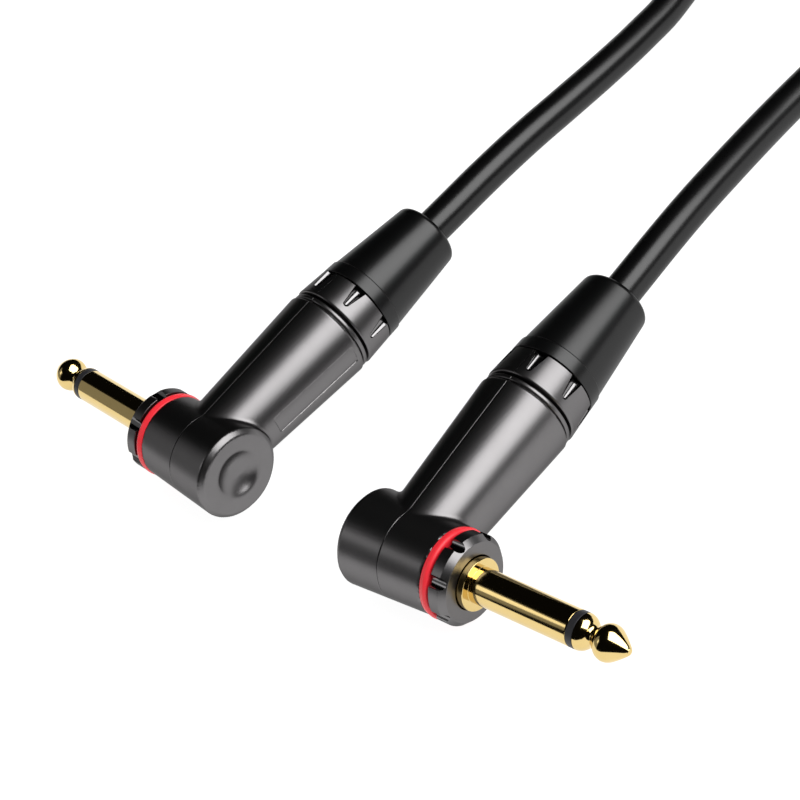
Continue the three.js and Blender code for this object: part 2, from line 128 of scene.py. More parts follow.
CAMERA_AT = Vector((0.2509, -0.1534, 0.2870))
CAMERA_FORWARD = Vector((-0.6197, 0.3718, -0.6911))
CAMERA_ROLL = -0.480
CAMERA_LENS = 101.87
ROOM = {"reflected": 0.003, "ambient": 0.45, "seen": 1.0}  # how bright the room is to each kind of ray
FLOOR = {"colour": 0.3, "glow": 0.9, "reach": 6000}
LIGHTS = {  # azimuth, elevation (degrees), distance, width, height (metres), radiance
    "key": (31, 45, 1.2, 1.1, 0.95, 4.8),
    "card": (-143, 24, 1.2, 0.9, 1.1, 0.28),
    "card_glow": (-134, 37, 1.15, 0.26, 0.34, 1.15),
}


# ---------------------------------------------------------------- frames and small helpers


def plug_matrix(letter):
    """The placement of a plug's own frame, in metres."""
    place = Matrix.Translation(Vector(ELBOWS[letter]) * MM)
    if letter == "a":
        return place
    return place @ Matrix.Rotation(YAW_B, 4, "Z") @ Matrix.Rotation(math.pi, 4, "Y")


def new_object(name, mesh):
    piece = bpy.data.objects.new(name, mesh)
    bpy.context.scene.collection.objects.link(piece)
    return piece


def mesh_of(vertices, faces):
    """A smooth-shaded mesh from vertices in millimetres."""
    mesh = bpy.data.meshes.new("mesh")
    mesh.from_pydata([tuple(c * MM for c in v) for v in vertices], [], faces)
    mesh.validate()
    mesh.shade_smooth()
    return mesh


def soften(corners, steps=4, margin=0.04):
    """An outline of [radius, along] points from corners of (radius, along, rounding).

    A point each side of a rounded corner, the margin away, keeps the straight runs' shading straight.
    """
    points = []
    for i, (radius, along, rounding) in enumerate(corners):
        here = np.array((radius, along), float)
        before = np.array(corners[i - 1][:2], float) - here
        after = np.array(corners[(i + 1) % len(corners)][:2], float) - here
        if not rounding:
            points.append(tuple(here))
            continue
        before /= np.linalg.norm(before)
        after /= np.linalg.norm(after)
        half = math.acos(np.clip(before @ after, -1, 1)) / 2
        centre = here + (before + after) / np.linalg.norm(before + after) * rounding / math.sin(half)
        first = here + before * rounding / math.tan(half) - centre
        last = here + after * rounding / math.tan(half) - centre
        sweep = math.pi - 2 * half
        points.append(tuple(centre + first + margin * before))
        for k in range(steps + 1):
            share = k / steps
            arm = (math.sin((1 - share) * sweep) * first + math.sin(share * sweep) * last) / math.sin(sweep)
            points.append(tuple(centre + arm))
        points.append(tuple(centre + last + margin * after))
    return points


def revolve(outline, axis="Y", sides=ROUND):
    """A closed solid of revolution. The outline's ends on the axis meet in one vertex each."""
    vertices = []
    rings = []
    for radius, along in outline:
        if radius < 1e-6:
            rings.append([len(vertices)] * sides)
            vertices.append((0.0, along, 0.0))
            continue
        rings.append(list(range(len(vertices), len(vertices) + sides)))
        for k in range(sides):
            angle = FULL_TURN * k / sides
            vertices.append((radius * math.sin(angle), along, radius * math.cos(angle)))
    closed = outline[0][0] > 1e-6
    faces = []
    for i in range(len(rings) - (0 if closed else 1)):
        low, high = rings[i], rings[(i + 1) % len(rings)]
        for k in range(sides):
            after = (k + 1) % sides
            face = [low[k], low[after], high[after], high[k]]
            face = list(dict.fromkeys(face))
            if len(face) > 2:
                faces.append(face)
    if axis == "X":
        vertices = [(y, -x, z) for x, y, z in vertices]
    return mesh_of(vertices, faces)


def face_out(mesh, crease=40):
    """Turns every face outwards and keeps edges sharper than the crease angle sharp."""
    work = bmesh.new()
    work.from_mesh(mesh)
    bmesh.ops.remove_doubles(work, verts=work.verts, dist=1e-8)
    bmesh.ops.recalc_face_normals(work, faces=work.faces)
    work.to_mesh(mesh)
    work.free()
    mesh.shade_smooth()
    mesh.set_sharp_from_angle(angle=math.radians(crease))
    return mesh


def apply_modifiers(piece):
    """Replaces a piece's mesh by the result of its modifiers."""
    graph = bpy.context.evaluated_depsgraph_get()
    mesh = bpy.data.meshes.new_from_object(piece.evaluated_get(graph))
    piece.modifiers.clear()
    piece.data = mesh


def carve(piece, cutters, edge=0.04):
    """Cuts solids out of a piece and softens the edges that are left, by edge millimetres.

    The cuts show the second of the piece's two materials, a lighter copy of the plating whose lighter shade
    is a painted highlight.
    """
    piece.data.materials.append(MATERIALS["black_nickel"])
    piece.data.materials.append(MATERIALS["slot_plating_painted_highlight"])
    tools = []
    for number, (vertices, faces) in enumerate(cutters):
        tool = new_object(f"cutter{number}", face_out(mesh_of(vertices, faces)))
        tool.data.materials.append(MATERIALS["slot_plating_painted_highlight"])
        cut = piece.modifiers.new("cut", "BOOLEAN")
        cut.operation = "DIFFERENCE"
        cut.solver = "EXACT"
        cut.material_mode = "TRANSFER"
        cut.object = tool
        tools.append(tool)
    bevel = piece.modifiers.new("edges", "BEVEL")
    bevel.width = edge * MM
    bevel.segments = 2
    bevel.limit_method = "ANGLE"
    bevel.angle_limit = math.radians(35)
    bevel.harden_normals = True
    apply_modifiers(piece)
    for tool in tools:
        bpy.data.objects.remove(tool)


def loft(outlines):
    """The vertices and faces of a solid that runs through outlines with the same number of points."""
    count = len(outlines[0])
    last = count * (len(outlines) - 1)
    faces = [list(range(count)), list(range(last + count - 1, last - 1, -1))]
    for start in range(0, last, count):
        for k in range(count):
            after = (k + 1) % count
            faces.append([start + k, start + k + count, start + after + count, start + after])
    return [point for outline in outlines for point in outline], faces


def round_cutter(stations, sides=32):
    """A round-nosed cutter along Y above the piece, from stations of (along, height, radius)."""
    along, height, radius = stations[0]
    slopes = [math.radians(angle) for angle in range(10, 90, 10)]
    nose = [(along - radius * math.cos(a), height, radius * math.sin(a)) for a in slopes]
    ring = [FULL_TURN * k / sides for k in range(sides)]
    outlines = []
    for along, height, radius in nose + list(stations):
        outlines.append([(radius * math.sin(a), along, height + radius * math.cos(a)) for a in ring])
    return loft(outlines)


def curve_through(points, steps=8):
    """A smooth outline through [radius, along] points."""
    knots = [np.array(point) for point in points]
    ends = [2 * knots[0] - knots[1], *knots, 2 * knots[-1] - knots[-2]]
    outline = []
    for before, here, there, after in zip(ends, ends[1:], ends[2:], ends[3:]):
        for k in range(steps):
            t = k / steps
            bend = 2 * before - 5 * here + 4 * there - after
            twist = 3 * here - before - 3 * there + after
            outline.append(tuple(here + 0.5 * t * ((there - before) + t * (bend + t * twist))))
    return outline + [tuple(points[-1])]


def turned(vertices, axis, angle):
    """Vertices turned about an axis by an angle in degrees."""
    spin = Matrix.Rotation(math.radians(angle), 3, axis)
    return [tuple(spin @ Vector(v)) for v in vertices]


# ---------------------------------------------------------------- materials


def shader(name, **values):
    """A material with one Principled shader, whose sockets take the values given."""
    material = bpy.data.materials.new(name)
    material.use_nodes = True
    principled = material.node_tree.nodes["Principled BSDF"]
    for socket, value in values.items():
        principled.inputs[socket.replace("_", " ")].default_value = value
    return material


def add(material, kind, **settings):
    node = material.node_tree.nodes.new(kind)
    for key, value in settings.items():
        setattr(node, key, value)
    return node


def noise(material, scale, detail=2.0, stretch=(1, 1, 1)):
    """A noise texture in the piece's own coordinates. Scale is in cells per metre."""
    place = add(material, "ShaderNodeTexCoord")
    mapping = add(material, "ShaderNodeMapping")
    texture = add(material, "ShaderNodeTexNoise")
    mapping.inputs["Scale"].default_value = stretch
    texture.inputs["Scale"].default_value = scale
    texture.inputs["Detail"].default_value = detail
    links = material.node_tree.links
    links.new(place.outputs["Object"], mapping.inputs["Vector"])
    links.new(mapping.outputs["Vector"], texture.inputs["Vector"])
    return texture.outputs["Fac"]


def spread(material, value, low, high):
    """Maps a texture value to a range."""
    ramp = add(material, "ShaderNodeMapRange")
    ramp.inputs["To Min"].default_value = low
    ramp.inputs["To Max"].default_value = high
    material.node_tree.links.new(value, ramp.inputs["Value"])
    return ramp.outputs["Result"]


def vary_roughness(material, value, low, high):
    principled = material.node_tree.nodes["Principled BSDF"]
    material.node_tree.links.new(spread(material, value, low, high), principled.inputs["Roughness"])


def vary_colour(material, value, first, second):
    """Mixes two colours by a texture value."""
    principled = material.node_tree.nodes["Principled BSDF"]
    mix = add(material, "ShaderNodeMix", data_type="RGBA")
    mix.inputs["A"].default_value = (*first, 1)
    mix.inputs["B"].default_value = (*second, 1)
    links = material.node_tree.links
    links.new(value, mix.inputs["Factor"])
    links.new(mix.outputs["Result"], principled.inputs["Base Color"])


def relief(material, value, height, strength=1.0):
    """Bump from a texture value. Height is in metres."""
    principled = material.node_tree.nodes["Principled BSDF"]
    bump = add(material, "ShaderNodeBump")
    bump.inputs["Strength"].default_value = strength
    bump.inputs["Distance"].default_value = height
    links = material.node_tree.links
    links.new(value, bump.inputs["Height"])
    links.new(bump.outputs["Normal"], principled.inputs["Normal"])


def waves(material, axis, scale, distortion=0.0):
    """Fine parallel bands across an axis of the piece. Scale is in bands per metre."""
    place = add(material, "ShaderNodeTexCoord")
    texture = add(material, "ShaderNodeTexWave", bands_direction=axis, wave_profile="SIN")
    bands_per_turn = 20  # a wave texture's own factor
    texture.inputs["Scale"].default_value = scale / bands_per_turn * FULL_TURN
    texture.inputs["Distortion"].default_value = distortion
    material.node_tree.links.new(place.outputs["Object"], texture.inputs["Vector"])
    return texture.outputs["Fac"]


def plating(name, first, second, roughness, height, strength):
    """Black-nickel plating over a die casting, in two close shades. The grain's height is in metres."""
    material = shader(name, Metallic=1.0, Specular_Tint=(0.4, 0.4, 0.4, 1))
    grain = noise(material, 9000, 3)
    vary_colour(material, noise(material, 260, 3), first, second)
    vary_roughness(material, grain, *roughness)
    relief(material, grain, height, strength)
    return material


def black_nickel():
    """The satin plating of the housing, nut and collar."""
    shades = (0.158, 0.153, 0.154), (0.178, 0.173, 0.175)
    return plating("black_nickel", *shades, roughness=(0.29, 0.36), height=0.000004, strength=0.25)


def slot_plating_painted_highlight():
    """The same plating inside the spanner slots and notches, glossier and in lighter shades; the lighter
    shade is a painted highlight.
    """
    # lighter than the black nickel outside: painted highlight in the slots and notches
    shades = (0.185, 0.18, 0.182), (0.205, 0.2, 0.202)
    return plating("slot_plating_painted_highlight", *shades, roughness=(0.13, 0.18), height=0.000003, strength=0.2)


def gold():
    """Polished gold plating with faint turning marks round the finger."""
    material = shader("gold", Metallic=1.0)
    vary_colour(material, noise(material, 420, 2), (0.68, 0.506, 0.207), (0.73, 0.555, 0.242))
    vary_roughness(material, noise(material, 2600, 3, (6, 1, 1)), 0.07, 0.12)
    relief(material, waves(material, "X", 9000), 0.0000006, 0.2)
    return material


def ring_red():
    material = shader("ring_red", Roughness=0.42)
    vary_colour(material, noise(material, 900, 2), (0.80, 0.014, 0.026), (0.87, 0.020, 0.036))
    relief(material, noise(material, 5200, 3), 0.000006, 0.3)
    return material


def dull_at_glance(material, strongest=0.5, start=0.62, fall=1.6):
    """Weakens a rubber's shine where the surface turns away from the eye, as its fine grain does."""
    principled = material.node_tree.nodes["Principled BSDF"]
    weight = add(material, "ShaderNodeLayerWeight")
    facing = add(material, "ShaderNodeMath", operation="SUBTRACT")
    facing.inputs[0].default_value = 1
    power = add(material, "ShaderNodeMath", operation="POWER")
    power.inputs[1].default_value = fall
    scale = add(material, "ShaderNodeMath", operation="MULTIPLY")
    scale.inputs[1].default_value = start
    least = add(material, "ShaderNodeMath", operation="MINIMUM")
    least.inputs[1].default_value = strongest
    links = material.node_tree.links
    links.new(weight.outputs["Facing"], facing.inputs[1])
    links.new(facing.outputs[0], power.inputs[0])
    links.new(power.outputs[0], scale.inputs[0])
    links.new(scale.outputs[0], least.inputs[0])
    links.new(least.outputs[0], principled.inputs["Specular IOR Level"])


def rubber(name, lighter, roughness, grain_scale, patch_scale):
    """Black rubber with a fine grain and paler patches. Scales are in cells per metre."""
    material = shader(name, IOR=1.5)
    grain = noise(material, grain_scale, 4)
    vary_colour(material, noise(material, patch_scale, 3), (0.0014, 0.0014, 0.0015), lighter)
    vary_roughness(material, grain, *roughness)
    dull_at_glance(material)
    relief(material, grain, 0.000008, 0.3)
    return material


def boot_rubber():
    return rubber("boot_rubber", (0.0026, 0.0026, 0.0027), (0.26, 0.33), grain_scale=6500, patch_scale=300)


def cable_jacket():
    return rubber("cable_jacket", (0.0030, 0.0030, 0.0031), (0.25, 0.32), grain_scale=4200, patch_scale=160)


def moulded(name, first, second, roughness):
    """A plain moulded plastic in two close shades."""
    material = shader(name)
    vary_colour(material, noise(material, 800, 3), first, second)
    vary_roughness(material, noise(material, 3000, 3), roughness, roughness + 0.12)
    relief(material, noise(material, 5200, 3), 0.000006, 0.3)
    return material


def bare_metal(name, first, second, roughness):
    material = shader(name, Metallic=1.0)
    vary_colour(material, noise(material, 1500, 4), first, second)
    vary_roughness(material, noise(material, 4000, 3), roughness, roughness + 0.15)
    return material


def braid():
    """Woven copper strands: two crossed sets of fine bands."""
    material = shader("copper_braid", Metallic=1.0, Roughness=0.35)
    place = add(material, "ShaderNodeTexCoord")
    links = material.node_tree.links
    sets = []
    for angle in (-35, 35):
        mapping = add(material, "ShaderNodeMapping")
        mapping.inputs["Rotation"].default_value = (0, 0, math.radians(angle))
        texture = add(material, "ShaderNodeTexWave", bands_direction="X")
        texture.inputs["Scale"].default_value = 900
        links.new(place.outputs["Object"], mapping.inputs["Vector"])
        links.new(mapping.outputs["Vector"], texture.inputs["Vector"])
        sets.append(texture.outputs["Fac"])
    higher = add(material, "ShaderNodeMath", operation="MAXIMUM")
    links.new(sets[0], higher.inputs[0])
    links.new(sets[1], higher.inputs[1])
    vary_colour(material, higher.outputs[0], (0.30, 0.13, 0.06), (0.85, 0.45, 0.26))
    relief(material, higher.outputs[0], 0.0001, 0.8)
    return material


def strap_fabric():
    """The looped pile of a hook-and-loop strap."""
    material = shader("strap_fabric", Roughness=0.95, Sheen_Weight=0.35)
    pile = noise(material, 2600, 6)
    vary_colour(material, pile, (0.010, 0.010, 0.011), (0.035, 0.035, 0.037))
    relief(material, pile, 0.0002, 0.9)
    return material


MATERIALS = {
    "black_nickel": black_nickel(),
    "slot_plating_painted_highlight": slot_plating_painted_highlight(),
    "gold": gold(),
    "red_ring": ring_red(),
    "boot_rubber": boot_rubber(),
    "jacket": cable_jacket(),
    "insulator": moulded("dark_insulator", (0.012, 0.012, 0.015), (0.020, 0.020, 0.024), 0.45),
    "nylon": moulded("nylon", (0.72, 0.68, 0.60), (0.82, 0.79, 0.71), 0.4),
    "nickel": bare_metal("nickel", (0.50, 0.48, 0.45), (0.66, 0.64, 0.60), 0.3),
    "copper": braid(),
    "strap": strap_fabric(),
}


# ---------------------------------------------------------------- camera, lights and floor


def place_camera():
    data = bpy.data.cameras.new("camera")
    data.lens = CAMERA_LENS
    camera = bpy.data.objects.new("camera", data)
    bpy.context.scene.collection.objects.link(camera)
    turn = CAMERA_FORWARD.to_track_quat("-Z", "Y") @ Quaternion((0, 0, 1), CAMERA_ROLL)
    camera.matrix_world = Matrix.Translation(CAMERA_AT) @ turn.to_matrix().to_4x4()
    bpy.context.scene.camera = camera


def softbox(name, azimuth, elevation, distance, width, height, radiance):
    """A rectangular light aimed at the plugs. Radiance 1 looks as bright as a white surface."""
    azimuth, elevation = math.radians(azimuth), math.radians(elevation)
    level = math.cos(elevation)
    towards = Vector((level * math.cos(azimuth), level * math.sin(azimuth), math.sin(elevation)))
    data = bpy.data.lights.new(name, "AREA")
    data.shape = "RECTANGLE"
    data.size = width
    data.size_y = height
    data.energy = radiance * math.pi * width * height
    lamp = bpy.data.objects.new(name, data)
    bpy.context.scene.collection.objects.link(lamp)
    turn = towards.to_track_quat("Z", "Y").to_matrix().to_4x4()
    lamp.matrix_world = Matrix.Translation(towards * distance) @ turn


def lights():
    """A large key light, and opposite it a dim card with a brighter patch."""
    for name, settings in LIGHTS.items():
        softbox(name, *settings)


def room():
    """A room that is dark in reflections, grey to diffuse rays and white to the camera."""
    world = bpy.data.worlds.new("room")
    world.use_nodes = True
    tree = world.node_tree
    path = tree.nodes.new("ShaderNodeLightPath")
    background = tree.nodes["Background"].inputs["Color"]
    shade = ROOM["reflected"]
    for ray, level in (("Is Diffuse Ray", ROOM["ambient"]), ("Is Camera Ray", ROOM["seen"])):
        mix = tree.nodes.new("ShaderNodeMix")
        mix.data_type = "RGBA"
        mix.inputs["B"].default_value = (level, level, level, 1)
        if isinstance(shade, float):
            mix.inputs["A"].default_value = (shade, shade, shade, 1)
        else:
            tree.links.new(shade, mix.inputs["A"])
        tree.links.new(path.outputs[ray], mix.inputs["Factor"])
        shade = mix.outputs["Result"]
    tree.links.new(shade, background)
    bpy.context.scene.world = world
    bpy.context.scene.view_settings.view_transform = "Standard"


def white_floor():
    """A matt floor that glows, so that it is white in the picture and the shadows on it stay light."""
    reach = FLOOR["reach"]
    corners = [(-reach, -reach, 0), (reach, -reach, 0), (reach, reach, 0), (-reach, reach, 0)]
    floor = new_object("floor", mesh_of(corners, [(0, 1, 2, 3)]))
    colour = (FLOOR["colour"], FLOOR["colour"], FLOOR["colour"], 1)
    material = shader("floor_white", Base_Color=colour, Roughness=1.0, Specular_IOR_Level=0.0)
    principled = material.node_tree.nodes["Principled BSDF"]
    principled.inputs["Emission Color"].default_value = (1, 1, 1, 1)
    principled.inputs["Emission Strength"].default_value = FLOOR["glow"]
    floor.data.materials.append(material)


# ---------------------------------------------------------------- cable


def coil_turns():
    """The points of the coil: a flat spiral inwards, a climb of one layer, and a flat spiral outwards."""
    total = COIL["laps"] + (COIL["last"] - COIL["first"]) / 360
    count = round(total * COIL["points_per_turn"])
    points = []
    for k in range(count + 1):
        lap = total * k / count
        angle = math.radians(COIL["first"]) + FULL_TURN * lap
        radius = COIL["radius"] - COIL["pitch"] * min(lap, total - lap)
        rise = min(max((lap - (total - COIL["climb"]) / 2) / COIL["climb"], 0), 1)
        layer = rise * rise * (3 - 2 * rise)
        points.append(
            (
                COIL["x"] + radius * math.cos(angle),
                COIL["y"] + radius * math.sin(angle),
                COIL["base"] + layer * COIL["pitch"],
            )
        )
    return points


def inside_plug(letter):
    """Points on the cable's axis from the clamp to the boot's mouth, in millimetres."""
    place = plug_matrix(letter)
    return [tuple(place @ Vector((0, y * MM, 0)) / MM) for y in CABLE_IN_PLUG]


def cable():
    points = inside_plug("a") + LEAD_A + coil_turns() + LEAD_B[::-1] + inside_plug("b")[::-1]
    data = bpy.data.curves.new("cable", "CURVE")
    data.dimensions = "3D"
    data.bevel_depth = CABLE_RADIUS * MM
    data.bevel_resolution = 10
    data.resolution_u = 6
    data.use_fill_caps = True
    spline = data.splines.new("BEZIER")
    spline.bezier_points.add(len(points) - 1)
    for knot, point in zip(spline.bezier_points, points):
        knot.co = Vector(point) * MM
        knot.handle_left_type = knot.handle_right_type = "AUTO"
    piece = new_object("cable", data)
    piece.data.materials.append(MATERIALS["jacket"])
    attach(piece, "root")
    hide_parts("cable_lead_a", "cable_coil", "cable_lead_b", "jacket_end_a", "jacket_end_b")
    return piece


def tie():
    """The strap round the coil's bundle, with its free end lying on top of itself."""
    bend_steps = 6
    corner = TIE["corner"]
    near, far = TIE["near"] + corner, TIE["far"] - corner
    low, high = TIE["low"] + corner, TIE["high"] - corner
    middle = (TIE["near"] + TIE["far"]) / 2
    path = [(middle + TIE["overlap"] / 2, TIE["high"])]
    for number, (y, z) in enumerate(((far, high), (far, low), (near, low), (near, high))):
        for k in range(bend_steps + 1):
            angle = math.radians(90 - 90 * number - 90 / bend_steps * k)
            path.append((y + corner * math.cos(angle), z + corner * math.sin(angle)))
    before, after = TIE["ramp"]
    lifted = TIE["high"] + TIE["thickness"] * TIE["lift"]
    path.append((middle - TIE["overlap"] / 2 - before, TIE["high"]))
    path.append((middle - TIE["overlap"] / 2 + after, lifted))
    path.append((middle + TIE["overlap"] / 2 + TIE["tail"], lifted))
    vertices, faces = [], []
    for i, point in enumerate(path):
        here = np.array(point)
        before = np.array(path[max(i - 1, 0)])
        after = np.array(path[min(i + 1, len(path) - 1)])
        along = (after - before) / np.linalg.norm(after - before)
        out = np.array((-along[1], along[0]))
        for side, shift in ((-1, 0), (1, 0), (1, 1), (-1, 1)):
            y, z = here + out * shift * TIE["thickness"]
            vertices.append((COIL["x"] + side * TIE["width"] / 2, COIL["y"] + y, z))
    for i in range(len(path) - 1):
        for k in range(4):
            after = (k + 1) % 4
            faces.append([4 * i + k, 4 * i + after, 4 * i + 4 + after, 4 * i + 4 + k])
    last = 4 * (len(path) - 1)
    faces += [[0, 1, 2, 3], [last + 3, last + 2, last + 1, last]]
    piece = new_object("coil_tie", face_out(mesh_of(vertices, faces), 60))
    bevel = piece.modifiers.new("edges", "BEVEL")
    bevel.width = TIE["edge"] * MM
    bevel.segments = 2
    apply_modifiers(piece)
    piece.data.materials.append(MATERIALS["strap"])
    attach(piece, "root")
    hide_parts("cable_tie")
    return piece


# ---------------------------------------------------------------- housing


def outline_distance(radius, along, outline):
    """Signed distance to a closed outline of [radius, along] points, negative inside it."""
    nearest = np.full(radius.shape, np.inf)
    inside = np.zeros(radius.shape, bool)
    for (r0, a0), (r1, a1) in zip(outline, outline[1:] + outline[:1]):
        edge_r, edge_a = r1 - r0, a1 - a0
        if edge_r == 0 and edge_a == 0:
            continue
        share = ((radius - r0) * edge_r + (along - a0) * edge_a) / (edge_r**2 + edge_a**2)
        share = np.clip(share, 0, 1)
        gap = (radius - r0 - share * edge_r) ** 2 + (along - a0 - share * edge_a) ** 2
        nearest = np.minimum(nearest, gap)
        if a0 != a1:
            level = (a0 > along) != (a1 > along)
            inside ^= level & (radius < r0 + edge_r * (along - a0) / edge_a)
    return np.where(inside, -1, 1) * np.sqrt(nearest)


def cross_outline():
    """The short barrel that lies along the finger, with the dish in its rear face."""
    slope = math.radians(DISH["slope"])
    depth = (DISH["bowl"] + DISH["rim"]) * (1 - math.cos(slope))
    outer = (DISH["bowl"] + DISH["rim"]) * math.sin(slope)
    steps = 8
    angles = [slope * k / steps for k in range(steps + 1)]
    bowl = [(DISH["bowl"] * math.sin(a), depth - DISH["bowl"] * (1 - math.cos(a))) for a in angles]
    rim = [(outer - DISH["rim"] * math.sin(a), DISH["rim"] * (1 - math.cos(a))) for a in angles[::-1]]
    dish = [(radius, CROSS["rear"] + along, 0) for radius, along in bowl[:-1] + rim]
    return soften(
        [
            (-1, CROSS["rear"] + depth, 0),
            *dish,
            (CROSS["rear_radius"] - CROSS["chamfer"], CROSS["rear"], CROSS["face_edge"]),
            (CROSS["rear_radius"], CROSS["rear"] + CROSS["chamfer"], CROSS["side_edge"]),
            (CROSS["front_radius"], CROSS["front"], CROSS["front_edge"]),
            (-1, CROSS["front"], 0),
        ]
    )


def barrel_outline():
    """The long barrel round the cable, with the groove and bead before the collar."""
    floor, draft, edge = GROOVE["floor"], GROOVE["draft"], GROOVE["edge"]
    return soften(
        [
            (-1, 0, 0),
            (BARREL["elbow"], 0, 0),
            (BARREL["rim"], BARREL["rim_end"], BARREL["rim_edge"]),
            (floor, BARREL["rim_end"] + draft, edge),
            (floor, BEAD["start"] - draft, edge),
            (BEAD["radius"], BEAD["start"], BEAD["edge"]),
            (BEAD["radius"], BEAD["end"], BEAD["edge"]),
            (floor, BEAD["end"] + draft, edge),
            (floor, SHOULDER_END, edge / 2),
            (SPIGOT["radius"], SHOULDER_END, edge),
            (SPIGOT["radius"], SPIGOT["end"], SPIGOT["edge"]),
            (-1, SPIGOT["end"], 0),
        ]
    )


def fillet_union(first, second, radius):
    """Joins two signed distances with a round fillet where they meet."""
    near = np.maximum(radius - first, 0)
    close = np.maximum(radius - second, 0)
    return np.maximum(radius, np.minimum(first, second)) - np.hypot(near, close)


def housing_field(points):
    """Signed distance to the housing, roughly, at points in the plug's frame."""
    x, y, z = points[..., 0], points[..., 1], points[..., 2]
    cross = outline_distance(np.hypot(y, z), x, CROSS_OUTLINE)
    barrel = outline_distance(np.hypot(x, z), y, BARREL_OUTLINE)
    alignment = z**2 / np.maximum(np.hypot(y, z) * np.hypot(x, z), 1)
    to_side = np.clip(1 - alignment, 0, 1) ** FILLET["fade"]
    fillet = FILLET["crown"] + (FILLET["side"] - FILLET["crown"]) * to_side
    body = fillet_union(cross, barrel, fillet)
    # the side towards the finger ends in a flat face
    near_finger = y < CROSS["rear_radius"] + FILLET["side"] + 1
    body = np.where(near_finger, np.maximum(body, x - CROSS["front"]), body)
    body = body + SEAM["depth"] * np.clip(1 - np.abs(x) / SEAM["width"], 0, 1)
    middle = (PANEL["start"] + PANEL["end"]) / 2
    out_y = np.abs(y - middle) - (PANEL["end"] - PANEL["start"]) / 2 + PANEL["corner"]
    out_z = np.abs(z) - PANEL["half_width"] + PANEL["corner"]
    border = np.hypot(np.maximum(out_y, 0), np.maximum(out_z, 0))
    border = border + np.minimum(np.maximum(out_y, out_z), 0)
    sunk = np.clip(0.5 - (border - PANEL["corner"]) / PANEL["edge"], 0, 1)
    body = body + np.where(x < 0, PANEL["depth"] * sunk, 0)
    chamber_ends = np.maximum(CHAMBER["rear"] - x, x - CHAMBER["front"])
    chamber = np.maximum(np.hypot(y, z) - CHAMBER["radius"], chamber_ends)
    bush_hole = np.maximum(np.hypot(y, z) - BUSH_HOLE, -x)
    bore_radius = BORE["elbow"] + (BORE["mouth"] - BORE["elbow"]) * y / SPIGOT["end"]
    bore = np.maximum(np.hypot(x, z) - bore_radius, -y)
    hollow = np.minimum(np.minimum(chamber, bush_hole), bore)
    return np.maximum(body, -hollow)


def spaced(low, high, step, fine):
    """Grid positions from low to high, closer together round each (position, reach, step) of fine."""
    positions = [low]
    while positions[-1] < high:
        here = positions[-1]
        steps = [s for position, reach, s in fine if position - reach <= here < position + reach]
        ahead = [position - reach - here for position, reach, _ in fine if position - reach > here + 1e-9]
        positions.append(here + min(steps + [step] + ahead))
    return np.array(positions)


def skin(field, xs, ys, zs):
    """The surface where a field is zero, as one vertex in each grid cell that it crosses."""
    grid = np.stack(np.meshgrid(xs, ys, zs, indexing="ij"), -1)
    value = field(grid)
    shape = np.array(value.shape) - 1
    total = np.zeros((*shape, 3))
    count = np.zeros(tuple(shape), int)
    crossings = []
    for axis in range(3):
        step = np.eye(3, dtype=int)[axis]
        low = value[: shape[0] + 1 - step[0], : shape[1] + 1 - step[1], : shape[2] + 1 - step[2]]
        high = value[step[0] :, step[1] :, step[2] :]
        where = np.argwhere((low < 0) != (high < 0))
        sides = [a for a in range(3) if a != axis]
        inner = np.all((where[:, sides] > 0) & (where[:, sides] < shape[sides]), axis=1)
        where = where[inner]
        start, end = tuple(where.T), tuple((where + step).T)
        share = value[start] / (value[start] - value[end])
        point = grid[start] + share[:, None] * (grid[end] - grid[start])
        around = []
        for first, second in ((0, 0), (1, 0), (1, 1), (0, 1)):
            cell = where.copy()
            cell[:, sides[0]] -= first
            cell[:, sides[1]] -= second
            np.add.at(total, tuple(cell.T), point)
            np.add.at(count, tuple(cell.T), 1)
            around.append(cell)
        rising = value[start] < 0
        if axis == 1:
            rising = ~rising
        crossings.append((np.stack(around, 1), rising))
    used = count > 0
    number = np.full(tuple(shape), -1)
    number[used] = np.arange(used.sum())
    vertices = total[used] / count[used][:, None]
    faces = []
    for around, rising in crossings:
        quads = number[tuple(np.moveaxis(around, -1, 0))]
        faces += quads[rising].tolist() + quads[~rising][:, ::-1].tolist()
    return settle(field, vertices), faces


def settle(field, vertices, rounds=4, probe=0.01, longest=0.2):
    """Moves vertices onto the field's zero surface."""
    for _ in range(rounds):
        rise = [field(vertices + probe * way) - field(vertices - probe * way) for way in np.eye(3)]
        slope = np.stack(rise, -1) / (2 * probe)
        move = -field(vertices)[:, None] * slope / np.maximum((slope**2).sum(1, keepdims=True), 0.2)
        size = np.linalg.norm(move, axis=1, keepdims=True)
        vertices = vertices + move * np.minimum(1, longest / np.maximum(size, 1e-9))
    return vertices


def half_of(mesh, side):
    """One shell: the part of the housing on one side of the seam, closed with a flat face."""
    work = bmesh.new()
    work.from_mesh(mesh)
    bmesh.ops.bisect_plane(
        work,
        geom=work.verts[:] + work.edges[:] + work.faces[:],
        dist=1e-9,
        plane_co=(side * SEAM["gap"] * MM, 0, 0),
        plane_no=(side, 0, 0),
        clear_inner=True,
    )
    rim = [edge for edge in work.edges if edge.is_boundary]
    bmesh.ops.triangle_fill(work, use_beauty=True, use_dissolve=False, edges=rim)
    half = bpy.data.meshes.new("shell")
    work.to_mesh(half)
    work.free()
    return face_out(half, 50)


